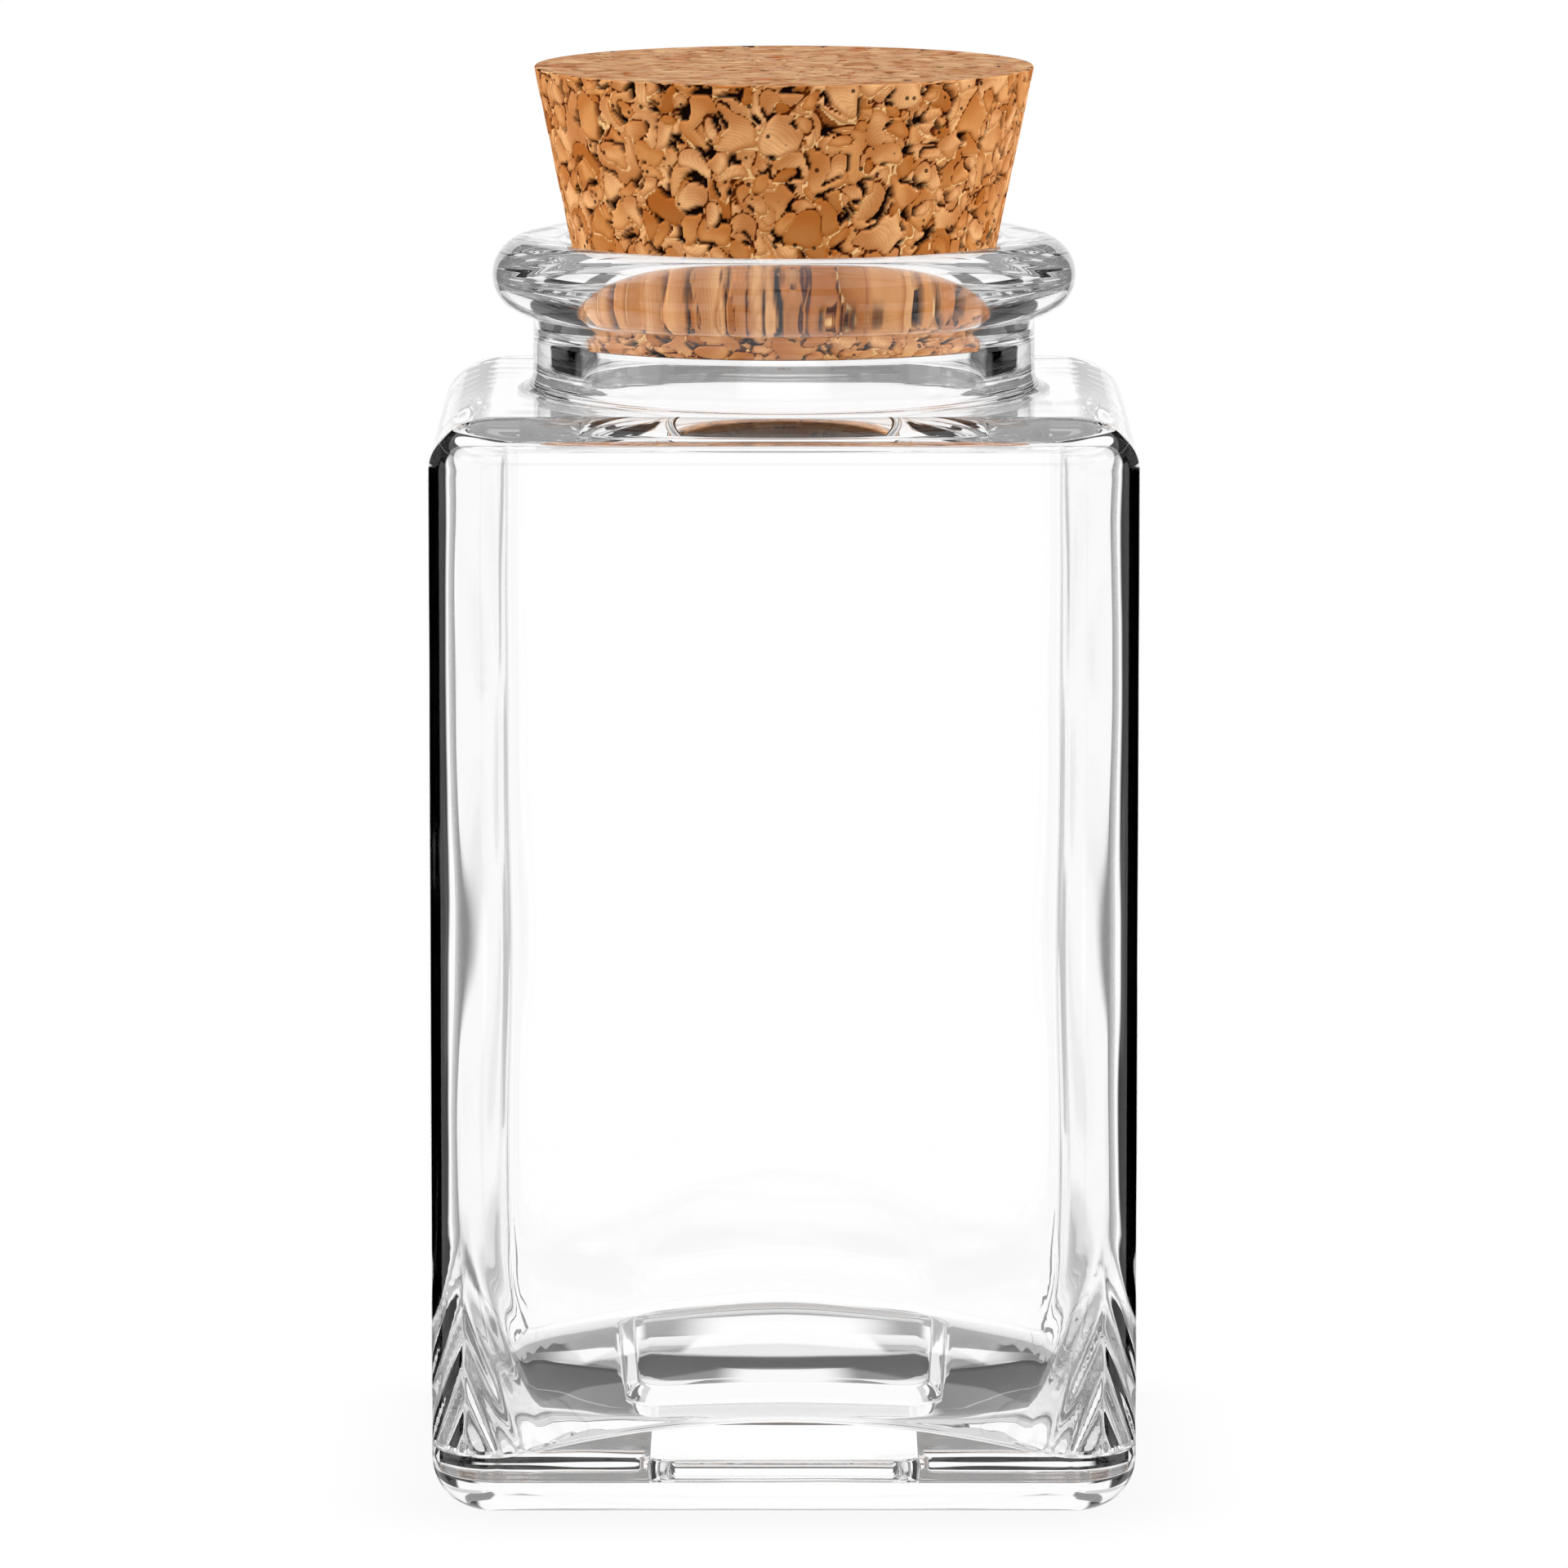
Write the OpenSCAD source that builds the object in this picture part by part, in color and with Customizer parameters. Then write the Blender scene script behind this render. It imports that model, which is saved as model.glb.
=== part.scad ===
// Square glass jar closed by a tapered cork stopper.
// Millimetres, +Z up. The origin is the centre of the base, on the surface the jar stands on.

/* [Glass body] */
// Width and depth of the square body
body_w = 60; // [56:0.5:80]
// Height of the body, from the base to the flat shoulder
body_h = 93.5; // [60:0.1:140]
// Radius of the four upright corners, outside
corner_r = 5.6; // [5.5:0.1:12]
// How far the rounding between the walls and the shoulder reaches in from the walls
shoulder_in = 5.5; // [2:0.1:5.5]
// How far that rounding reaches down from the shoulder
shoulder_drop = 4.6; // [2:0.1:6]
// Radius of the rounding between the walls and the base, outside
base_r = 4.6; // [2:0.1:5.5]

/* [Hollow] */
// Thickness of the side walls
wall_t = 1.6; // [1.2:0.1:3]
// Thickness of the shoulder
shoulder_t = 2.2; // [2:0.1:3]
// Radius of the four upright corners of the hollow, over most of their height
hollow_corner_r = 6; // [2.6:0.1:7]
// Radius of the same corners at the floor, where more glass gathers
hollow_foot_r = 7.5; // [3:0.1:9]
// Height at which the corners have narrowed to the smaller radius
hollow_foot_h = 20; // [8:1:40]
// Radius of the rounding between the walls and the ceiling of the hollow
hollow_shoulder_r = 2.2; // [0.6:0.1:2.5]
// Height of the floor of the hollow at its centre, where it domes up
floor_h = 12.4; // [10:0.2:18]
// Height of the floor in the corners of the hollow
floor_corner_h = 4.6; // [3:0.1:6]

/* [Base recess] */
// Width of the square recess under the base
recess_w = 24.6; // [16:0.2:32]
// Depth of the recess
recess_h = 2.8; // [1:0.1:6]
// Corner radius of the recess
recess_r = 3; // [2:0.1:5]
// How much the recess narrows on each side towards its ceiling
recess_draft = 0.7; // [0.2:0.1:1.8]

/* [Neck and lip] */
// Outer diameter of the round neck
neck_d = 43.2; // [40:0.2:46]
// Thickness of the neck
neck_t = 4.1; // [3.4:0.1:5]
// Radius of the flare between the shoulder and the neck
flare_r = 1.4; // [0.6:0.1:2]
// Height of the middle of the bead lip above the shoulder
lip_rise = 9.7; // [7.5:0.1:14]
// Thickness of the bead lip
lip_t = 6.7; // [5:0.1:7]
// How far the bead lip stands out past the neck
lip_overhang = 3.5; // [2.6:0.1:4]
// Height of the rounding between the seat and the top of the lip
mouth_round_h = 2; // [1.2:0.1:2.6]
// Height of the conical seat of the stopper in the mouth
seat_h = 3; // [2:0.1:4]
// Radius of the rounding where the bore opens into the hollow
throat_r = 2; // [0.5:0.1:2.5]

/* [Cork stopper] */
// Height of the stopper
cork_h = 23.3; // [14:0.1:30]
// Angle between the side of the stopper and its axis, also that of the seat
cork_angle = 11.75; // [6:0.25:13]
// How far the stopper stands above the lip
cork_stand = 14.6; // [6:0.1:20]
// Radial clearance between the stopper and its seat
seat_gap = 0.05; // [0.02:0.01:0.1]

/* [Hidden] */

// Steps in a quarter circle of a rounded edge
arc_steps = 7;
// Sides of a full circle inside a hull
hull_sides = 32;
// Overshoot that keeps a cut clear of the faces it passes through
past = 1;

// The neck and the lip
neck_r = neck_d / 2;
bore_r = neck_r - neck_t;
lip_r = lip_t / 2;
lip_z = body_h + lip_rise;
lip_top = lip_z + lip_r;
lip_ring_r = neck_r + lip_overhang - lip_r;

// The hollow
hollow_w = body_w - 2 * wall_t;
hollow_top = body_h - shoulder_t;

// The dome of the floor: a sphere through its centre and through the corners of the hollow
corner_reach = sqrt(2) * (hollow_w / 2 - hollow_foot_r) + hollow_foot_r;
dome_rise = floor_h - floor_corner_h;
dome_r = (corner_reach * corner_reach + dome_rise * dome_rise) / (2 * dome_rise);

// The conical seat, just below the rounding of the mouth
seat_top_z = lip_top - mouth_round_h;
seat_low_z = seat_top_z - seat_h;
seat_top_r = bore_r + seat_h * tan(cork_angle);

// The stopper hangs in its seat, smaller than the seat by the clearance
cork_top_z = lip_top + cork_stand;
cork_low_z = cork_top_z - cork_h;
cork_top_r = bore_r - seat_gap + (cork_top_z - seat_low_z) * tan(cork_angle);
cork_low_r = cork_top_r - cork_h * tan(cork_angle);

// Points of an arc of an ellipse about a centre, from one angle to another
function arc(centre, rx, ry, from, to, steps) = [
    for (i = [0:steps])
    let (a = from + (to - from) * i / steps)
    centre + [rx * cos(a), ry * sin(a)]
];

// One end of a post outline, rounded by end = [how far in, how far along], or square where that is [0, 0].
// The end lies at height z, and up is 1 where the post goes up from it and -1 where it goes down.
function post_end(r, z, end, up, from, to) =
    end[0] == 0 ? [[r, z]] : arc([r - end[0], z + up * end[1]], end[0], end[1], from, to, arc_steps);

// Four upright posts with round ends at the corners of a square of the given width
module corner_posts(width, r, low, high, low_end, high_end) {
    offset_xy = width / 2 - r;
    for (x = [-offset_xy, offset_xy], y = [-offset_xy, offset_xy])
        translate([x, y, 0])
            rotate_extrude($fn = hull_sides)
                polygon(concat(
                    [[0, low]],
                    post_end(r, low, low_end, 1, -90, 0),
                    post_end(r, high, high_end, -1, 0, 90),
                    [[0, high]]
                ));
}

// The solid square body, with round corners and rounded lower and upper edges
module body_block() {
    hull()
        corner_posts(body_w, corner_r, 0, body_h, [base_r, base_r], [shoulder_in, shoulder_drop]);
}

// The outside of the neck and the bead lip, solid to the axis
module neck_outside() {
    lip_start = -acos(min(1, (neck_r - lip_ring_r) / lip_r));
    rotate_extrude($fn = 96)
        polygon(concat(
            [[0, body_h - shoulder_t / 2], [neck_r + flare_r, body_h - shoulder_t / 2]],
            arc([neck_r + flare_r, body_h + flare_r], flare_r, flare_r, -90, -180, arc_steps),
            arc([lip_ring_r, lip_z], lip_r, lip_r, lip_start, 90, 4 * arc_steps),
            [[0, lip_top]]
        ));
}

// The passage from the hollow to the mouth: throat, bore, conical seat and the round inner lip
module passage() {
    rotate_extrude($fn = 96)
        polygon(concat(
            [[0, hollow_top - past], [bore_r + throat_r, hollow_top - past]],
            arc([bore_r + throat_r, hollow_top + throat_r], throat_r, throat_r, -90, -180, arc_steps),
            [[bore_r, seat_low_z]],
            arc([lip_ring_r, seat_top_z], lip_ring_r - seat_top_r, lip_top - seat_top_z, 180, 90, arc_steps),
            [[lip_ring_r, lip_top + past], [0, lip_top + past]]
        ));
}

// The space inside the jar: its corners widen towards the floor, which is domed up between the walls
module hollow() {
    difference() {
        hull() {
            corner_posts(hollow_w, hollow_foot_r, 0, floor_corner_h, [0, 0], [0, 0]);
            corner_posts(
                hollow_w, hollow_corner_r, hollow_foot_h, hollow_top,
                [0, 0], [hollow_shoulder_r, hollow_shoulder_r]
            );
        }
        translate([0, 0, floor_h - dome_r]) sphere(dome_r, $fn = 128);
    }
}

// The square recess under the base
module base_recess() {
    offset_xy = recess_w / 2 - recess_r;
    hull()
        for (x = [-offset_xy, offset_xy], y = [-offset_xy, offset_xy])
            translate([x, y, -past])
                cylinder(h = recess_h + past, r1 = recess_r, r2 = recess_r - recess_draft, $fn = hull_sides);
}

// The jar: one piece of clear moulded glass
module glass_jar() {
    color([0.87, 0.93, 0.94, 0.35])
        difference() {
            union() {
                body_block();
                neck_outside();
            }
            hollow();
            passage();
            base_recess();
        }
}

// The stopper: one tapered piece of pressed cork granules
module cork_stopper() {
    color([0.78, 0.52, 0.29])
        translate([0, 0, cork_low_z])
            cylinder(h = cork_h, r1 = cork_low_r, r2 = cork_top_r, $fn = 128);
}

glass_jar();
cork_stopper();
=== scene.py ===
# %% [markdown]
# # A square glass jar with a cork stopper
#
# The real object has two pieces: a jar pressed and blown from clear glass in a square mould, and a
# tapered plug of pressed cork granules. There is nothing else on it, so everything that the eye
# sees comes from two things: how the thick glass bends light, and how the cork is made up of
# overlapping flakes. This script builds both pieces in mesh code around the fixed CAD frame, gives
# each a finish, and lights them in a white studio with dark cards that the glass can pick up.

import math

import bpy
import numpy as np
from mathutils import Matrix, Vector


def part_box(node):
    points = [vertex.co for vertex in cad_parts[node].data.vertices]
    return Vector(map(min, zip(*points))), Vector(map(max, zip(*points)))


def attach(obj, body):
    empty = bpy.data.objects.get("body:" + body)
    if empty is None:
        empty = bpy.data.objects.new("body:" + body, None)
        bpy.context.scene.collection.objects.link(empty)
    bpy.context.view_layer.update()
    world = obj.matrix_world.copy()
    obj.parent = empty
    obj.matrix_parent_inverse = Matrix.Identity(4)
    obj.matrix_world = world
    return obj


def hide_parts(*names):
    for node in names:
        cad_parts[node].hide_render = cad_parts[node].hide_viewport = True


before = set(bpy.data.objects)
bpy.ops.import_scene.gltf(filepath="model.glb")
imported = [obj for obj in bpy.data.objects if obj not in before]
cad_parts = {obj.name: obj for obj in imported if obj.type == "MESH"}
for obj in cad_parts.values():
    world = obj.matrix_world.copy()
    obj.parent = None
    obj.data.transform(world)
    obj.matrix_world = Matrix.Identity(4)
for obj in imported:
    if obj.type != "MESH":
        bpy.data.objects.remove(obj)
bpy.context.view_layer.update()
MM = 0.001
glass_low, glass_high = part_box("glass_jar")
cork_low, cork_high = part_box("cork_stopper")
print("jar box, mm:", [round(v / MM, 2) for v in (*glass_low, *glass_high)])
print("cork box, mm:", [round(v / MM, 2) for v in (*cork_low, *cork_high)])

# %% [markdown]
# ## The camera
#
# The photograph looks at the jar from one metre away and a little above, straight onto one flat
# wall. The long lens keeps the upright walls nearly parallel. A camera could be turned by hand
# until the picture looks right, but here its tilt follows from two heights, so that each of them
# can be fitted on its own. It comes first because all comparisons with the photograph depend on it.

# %% Camera
CAMERA_DISTANCE = 1.0
CAMERA_HEIGHT = 0.2018
AIM_HEIGHT = 0.0588
SENSOR_WIDTH = 36.0
LENS = 267.75

camera_data = bpy.data.cameras.new("studio_camera")
camera = bpy.data.objects.new("studio_camera", camera_data)
bpy.context.scene.collection.objects.link(camera)
camera_data.sensor_width = SENSOR_WIDTH
camera_data.lens = LENS
camera_data.clip_start = 0.05
camera_data.clip_end = 50.0
camera.location = (0.0, -CAMERA_DISTANCE, CAMERA_HEIGHT)
down = math.atan2(CAMERA_HEIGHT - AIM_HEIGHT, CAMERA_DISTANCE)
camera.rotation_euler = (math.pi / 2 - down, 0.0, 0.0)
bpy.context.scene.camera = camera
print("camera looks down by", round(math.degrees(down), 2), "degrees")

# %% [markdown]
# ## Rings: the way to build poured glass
#
# Glass shows every crease, because each ray passes four surfaces. A jar made from boxes with
# bevels has seams at the corners, and each seam bends light wrongly. So the whole skin, outside
# and inside, is one closed net of rings, like the hoops of a barrel: each ring has the same number
# of points, and each section of the jar only says how wide, how round and how high its rings are.
# A square ring has its points crowded near the corners, where the surface turns fastest.

# %% Ring helpers
CORNER_POINTS = 40
STRAIGHT_POINTS = 24
RING_POINTS = 4 * (CORNER_POINTS + STRAIGHT_POINTS)


def square_ring(half, radius, height):
    """A ring round a square with rounded corners, as an array of points in millimetres."""
    radius = min(radius, half)
    straight = half - radius
    steps = STRAIGHT_POINTS // 2
    rise = straight * np.sin(np.pi / 2 * np.arange(steps) / steps)
    turn = np.pi / 2 * np.arange(CORNER_POINTS + 1) / CORNER_POINTS
    side = [(half, y) for y in rise]
    side += [(straight + radius * c, straight + radius * s) for c, s in zip(np.cos(turn), np.sin(turn))]
    side += [(x, half) for x in rise[:0:-1]]
    side = np.array(side)
    quarters = [side @ np.array([[c, s], [-s, c]]) for c, s in ((1, 0), (0, 1), (-1, 0), (0, -1))]
    plan = np.concatenate(quarters)
    return np.column_stack([plan, np.full(len(plan), float(height))])


def round_ring(radius, height):
    """A circular ring with the same number of points."""
    angle = 2 * np.pi * np.arange(RING_POINTS) / RING_POINTS
    heights = np.full(RING_POINTS, float(height))
    return np.column_stack([radius * np.cos(angle), radius * np.sin(angle), heights])


def between(first, last, share):
    """The value or ring that lies this share of the way from the first to the last."""
    return first + (last - first) * share


def quarter(steps):
    """Angles from 0 to a right angle."""
    return np.pi / 2 * np.arange(steps + 1) / steps


def smooth_step(value):
    """0 below 0, 1 above 1, and a soft rise between."""
    value = np.clip(value, 0.0, 1.0)
    return value * value * (3 - 2 * value)


print("points in each ring:", RING_POINTS)

# %% [markdown]
# ## The sizes of the glass
#
# The outer sizes follow the frame. The wall, the hollow and the recess could be guessed afresh
# here, but they repeat the values of the CAD part, in millimetres, so that both stay one object.
# They are written out because only the outer box can be read from the frame.

# %% Glass sizes
BODY_HALF = (glass_high[0] - glass_low[0]) / MM / 2
LIP_TOP = glass_high[2] / MM
BODY_H = 93.5
CORNER_R = 5.6
SHOULDER_IN, SHOULDER_DROP = 5.5, 4.6
BASE_R = 4.6
WALL_T, SHOULDER_T = 1.6, 2.2
HOLLOW_HALF = BODY_HALF - WALL_T
HOLLOW_TOP = BODY_H - SHOULDER_T
HOLLOW_CORNER_R, HOLLOW_FOOT_R, HOLLOW_FOOT_H = 6.0, 7.5, 20.0
HOLLOW_SHOULDER_R = 2.2
FLOOR_H, FLOOR_CORNER_H = 12.4, 4.6
FLOOR_FILLET = 0.9
RECESS_HALF, RECESS_H, RECESS_R, RECESS_DRAFT = 12.3, 2.8, 3.0, 0.7
RECESS_ROUND = 0.3
NECK_R, NECK_T, FLARE_R = 21.6, 4.1, 1.4
LIP_R, LIP_OVERHANG = 3.35, 3.5
LIP_Z = LIP_TOP - LIP_R
LIP_RING_R = NECK_R + LIP_OVERHANG - LIP_R
BORE_R = NECK_R - NECK_T
MOUTH_H, SEAT_H, THROAT_R = 2.0, 3.0, 2.0
CORK_SLOPE = math.tan(math.radians(11.75))
SEAT_TOP_Z = LIP_TOP - MOUTH_H
SEAT_LOW_Z = SEAT_TOP_Z - SEAT_H
SEAT_TOP_R = BORE_R + SEAT_H * CORK_SLOPE
corner_reach = math.sqrt(2) * (HOLLOW_HALF - HOLLOW_FOOT_R) + HOLLOW_FOOT_R
dome_rise = FLOOR_H - FLOOR_CORNER_H
DOME_R = (corner_reach**2 + dome_rise**2) / (2 * dome_rise)
print("lip top", round(LIP_TOP, 2), "mm, dome radius", round(DOME_R, 1), "mm")

# %% [markdown]
# ## Underside
#
# The jar stands on a square band round a shallow recess. Through the thick base that recess reads
# as a clear block lying on the floor of the jar. A boolean cut would leave sharp edges and stray
# triangles there, so the recess is a set of rings like the rest of the skin, and its edges are
# softly rounded, as a mould leaves them.

# %% Recess and base band
RECESS_SHARES = (0.02, 0.3, 0.6, 0.9)
RECESS_SIDE_SHARES = (0.33, 0.66)
BAND_SHARES = (0.03, 0.35, 0.65, 0.97)
RECESS_EDGE_STEPS, BASE_EDGE_STEPS = 5, 14


def recess_rings():
    """The shallow square recess under the base, from its ceiling outwards."""
    top_half, top_r = RECESS_HALF - RECESS_DRAFT, RECESS_R - RECESS_DRAFT
    flat_half, flat_r = top_half - RECESS_ROUND, top_r - RECESS_ROUND
    rings = [square_ring(flat_half * f, flat_r * f, RECESS_H) for f in RECESS_SHARES]
    for a in quarter(RECESS_EDGE_STEPS):
        out = RECESS_ROUND * (math.sin(a) - 1)
        height = RECESS_H - RECESS_ROUND * (1 - math.cos(a))
        rings.append(square_ring(top_half + out, top_r + out / 2, height))
    for f in RECESS_SIDE_SHARES:
        height = between(RECESS_H - RECESS_ROUND, RECESS_ROUND, f)
        out = RECESS_DRAFT * (RECESS_H - height) / RECESS_H
        rings.append(square_ring(top_half + out, top_r + out, height))
    for a in quarter(RECESS_EDGE_STEPS):
        out = RECESS_ROUND * (1 - math.cos(a))
        rings.append(square_ring(RECESS_HALF + out, RECESS_R + out, RECESS_ROUND * (1 - math.sin(a))))
    return rings


def base_rings():
    """The band that the jar stands on and the round lower edge."""
    inner = square_ring(RECESS_HALF + RECESS_ROUND, RECESS_R + RECESS_ROUND, 0)
    outer = square_ring(BODY_HALF - BASE_R, CORNER_R - BASE_R, 0)
    rings = [between(inner, outer, f) for f in BAND_SHARES]
    for a in quarter(BASE_EDGE_STEPS):
        inset = BASE_R * (1 - math.sin(a))
        rings.append(square_ring(BODY_HALF - inset, CORNER_R - inset, BASE_R * (1 - math.cos(a))))
    return rings


underside = recess_rings() + base_rings()
print("rings under the jar:", len(underside))

# %% [markdown]
# ## Walls and shoulder
#
# The walls are flat and parallel, and the shoulder turns in with a rounding that reaches a little
# further in than down. A subdivided box would swell the flat walls and bend what is seen through
# them. Rings keep the walls flat to the last digit, and there are many of them on the rounding,
# where the bright and dark lines gather.

# %% Walls and shoulder
WALL_STEPS, SHOULDER_STEPS = 12, 36
WALL_END_GAP = 0.3  # between the ends of a wall and the roundings next to it, mm
FLAT_SHARES = (0.04, 0.35, 0.7, 0.96)


def wall_rings():
    """The upright walls between the two rounded edges."""
    low, high = BASE_R + WALL_END_GAP, BODY_H - SHOULDER_DROP - WALL_END_GAP
    heights = [between(low, high, k / WALL_STEPS) for k in range(WALL_STEPS + 1)]
    return [square_ring(BODY_HALF, CORNER_R, height) for height in heights]


def shoulder_rings():
    """The rounded edge at the top of the walls, then the flat shoulder up to the round neck."""
    rings = []
    for a in quarter(SHOULDER_STEPS):
        inset = SHOULDER_IN * (1 - math.cos(a))
        height = BODY_H - SHOULDER_DROP * (1 - math.sin(a))
        rings.append(square_ring(BODY_HALF - inset, CORNER_R - inset, height))
    neck_foot = round_ring(NECK_R + FLARE_R, BODY_H)
    rings += [between(rings[-1], neck_foot, f) for f in FLAT_SHARES]
    return rings


outer_rings = underside + wall_rings() + shoulder_rings()
print("outer rings up to the neck:", len(outer_rings))

# %% [markdown]
# ## Neck, bead lip and mouth
#
# The neck leaves the shoulder in a small flare. The lip is a fat round bead, as left by rolling the
# hot rim, and it overhangs the neck. Inside, a short cone receives the cork, and the bore below it
# runs straight down to a soft edge at the ceiling of the jar. A torus set on a tube would meet it
# in a sharp line, so the bead is an arc of rings that starts just where it touches the neck.

# %% Neck, lip and mouth
FLARE_STEPS, LIP_STEPS, MOUTH_STEPS, THROAT_STEPS = 10, 64, 14, 10
SEAT_SHARES = (0.1, 0.5, 0.9, 1.0)
BORE_SHARES = (0.1, 0.5, 0.9)


def neck_and_lip_rings():
    """The flare, the neck and the bead, from the shoulder to the top of the lip."""
    rings = []
    for a in quarter(FLARE_STEPS):
        radius = NECK_R + FLARE_R * (1 - math.sin(a))
        rings.append(round_ring(radius, BODY_H + FLARE_R * (1 - math.cos(a))))
    start = -math.acos((NECK_R - LIP_RING_R) / LIP_R)
    neck_top = LIP_Z + LIP_R * math.sin(start)
    rings.append(round_ring(NECK_R, between(BODY_H + FLARE_R, neck_top, 0.5)))
    for k in range(LIP_STEPS + 1):
        a = between(start, math.pi / 2, k / LIP_STEPS)
        rings.append(round_ring(LIP_RING_R + LIP_R * math.cos(a), LIP_Z + LIP_R * math.sin(a)))
    return rings


def mouth_rings():
    """The inside of the lip, the seat of the cork, the bore and its throat, going down."""
    reach = LIP_RING_R - SEAT_TOP_R
    rings = []
    for a in quarter(MOUTH_STEPS)[1:]:
        rings.append(round_ring(LIP_RING_R - reach * math.sin(a), SEAT_TOP_Z + MOUTH_H * math.cos(a)))
    for f in SEAT_SHARES:
        rings.append(round_ring(between(SEAT_TOP_R, BORE_R, f), between(SEAT_TOP_Z, SEAT_LOW_Z, f)))
    throat_z = HOLLOW_TOP + THROAT_R
    rings += [round_ring(BORE_R, between(SEAT_LOW_Z, throat_z, f)) for f in BORE_SHARES]
    for a in quarter(THROAT_STEPS):
        rings.append(round_ring(BORE_R + THROAT_R * (1 - math.cos(a)), throat_z - THROAT_R * math.sin(a)))
    return rings


neck_rings = neck_and_lip_rings() + mouth_rings()
print("neck and mouth rings:", len(neck_rings))

# %% [markdown]
# ## The uneven inside
#
# Only the outside of the glass touches the mould. The inside is shaped by air, so the wall swells
# and thins over a few centimetres, and low in the corners, where the glass pooled, it is rippled.
# A bump texture could fake this, but it would be lost in the mesh. So the points themselves move,
# in long waves all over and in fine ripples near the corners that lie in a feather pattern. The
# waves make the dark lines near the edges wander instead of running ruler-straight.

# %% Inner waves
WAVES = (  # times round the jar, height of one wave and swell in mm, turn, shift
    (4, 62.0, 0.16, 0.4, 0.9),
    (8, 41.0, 0.09, 1.1, 2.3),
    (12, 27.0, 0.05, 2.0, 0.2),
    (4, 133.0, 0.14, 3.1, 1.4),
)
WAVE_TURN = 0.3
WAVE_FADE = 6.0  # mm below the ceiling
RIPPLE_SWELL = 0.11  # mm
RIPPLES_ROUND, RIPPLES_UP = 100, 1.1  # per radian and per mm of height
RIPPLE_SPREAD = 0.16  # radians from a corner
RIPPLE_TOP, RIPPLE_FADE = 26.0, 18.0  # mm


def wavy(ring):
    """Pushes the points of an inner ring out or in by the waves of blown glass."""
    x, y, z = ring.T
    angle = np.arctan2(y, x)
    swell = np.zeros(len(ring))
    for count, wave_h, size, turn, shift in WAVES:
        round_wave = np.cos(count * (angle - np.pi / 4) + WAVE_TURN * np.sin(turn))
        swell += size * round_wave * np.sin(2 * np.pi * z / wave_h + shift)
    off_corner = (angle + np.pi / 4) % (np.pi / 2)
    off_corner = np.minimum(off_corner, np.pi / 2 - off_corner)
    near = np.exp(-((off_corner / RIPPLE_SPREAD) ** 2)) * smooth_step((RIPPLE_TOP - z) / RIPPLE_FADE)
    swell += RIPPLE_SWELL * near * np.sin(RIPPLES_ROUND * off_corner + RIPPLES_UP * z)
    fade = smooth_step((HOLLOW_TOP - HOLLOW_SHOULDER_R - z) / WAVE_FADE)
    scale = 1 + swell * fade / HOLLOW_HALF
    return np.column_stack([x * scale, y * scale, z])


print("largest swell of the waves, mm:", round(sum(wave[2] for wave in WAVES), 2))

# %% [markdown]
# ## The hollow
#
# The space inside has its own corners, rounder at the foot, and a floor that domes up between the
# walls, where the mould pushed the glass. Giving the outer skin a thickness would make the inside
# a copy of the outside, and the dark bands at the edges of the jar come from the difference
# between the two. So the hollow is drawn with rings of its own, crowded towards the floor.

# %% Hollow
CEILING_STEPS, FILLET_STEPS = 14, 8
INNER_WALL_RINGS, INNER_CROWDING = 70, 1.7
FLOOR_RINGS, FLOOR_ROUNDING = 26, 0.7


def dome(x, y):
    """Height of the domed floor."""
    return FLOOR_H - DOME_R + np.sqrt(DOME_R**2 - x**2 - y**2)


def hollow_corner(height):
    """Corner radius of the hollow: larger near the floor."""
    share = smooth_step((height - FLOOR_CORNER_H) / (HOLLOW_FOOT_H - FLOOR_CORNER_H))
    return HOLLOW_FOOT_R + (HOLLOW_CORNER_R - HOLLOW_FOOT_R) * share


def ceiling_rings():
    """From the throat outwards under the shoulder, then the rounding down to the walls."""
    first = round_ring(BORE_R + THROAT_R, HOLLOW_TOP)
    last = square_ring(HOLLOW_HALF - HOLLOW_SHOULDER_R, HOLLOW_CORNER_R - HOLLOW_SHOULDER_R, HOLLOW_TOP)
    rings = [between(first, last, f) for f in FLAT_SHARES]
    for a in quarter(CEILING_STEPS):
        inset = HOLLOW_SHOULDER_R * (1 - math.sin(a))
        height = HOLLOW_TOP - HOLLOW_SHOULDER_R * (1 - math.cos(a))
        rings.append(square_ring(HOLLOW_HALF - inset, HOLLOW_CORNER_R - inset, height))
    return rings


def inner_wall_rings():
    """The inner walls down to the fillet above the dome, with the waves of blown glass."""
    top = HOLLOW_TOP - HOLLOW_SHOULDER_R - WALL_END_GAP
    rings = []
    for k in range(INNER_WALL_RINGS):
        share = 1 - (1 - k / INNER_WALL_RINGS) ** INNER_CROWDING
        ring = square_ring(HOLLOW_HALF, HOLLOW_CORNER_R, top)
        foot = dome(ring[:, 0], ring[:, 1]) + FLOOR_FILLET
        height = between(top, float(foot.mean()), share)
        ring = square_ring(HOLLOW_HALF, float(hollow_corner(height)), top)
        foot = dome(ring[:, 0], ring[:, 1]) + FLOOR_FILLET
        ring[:, 2] = between(top, foot, share)
        rings.append(wavy(ring))
    return rings


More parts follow.
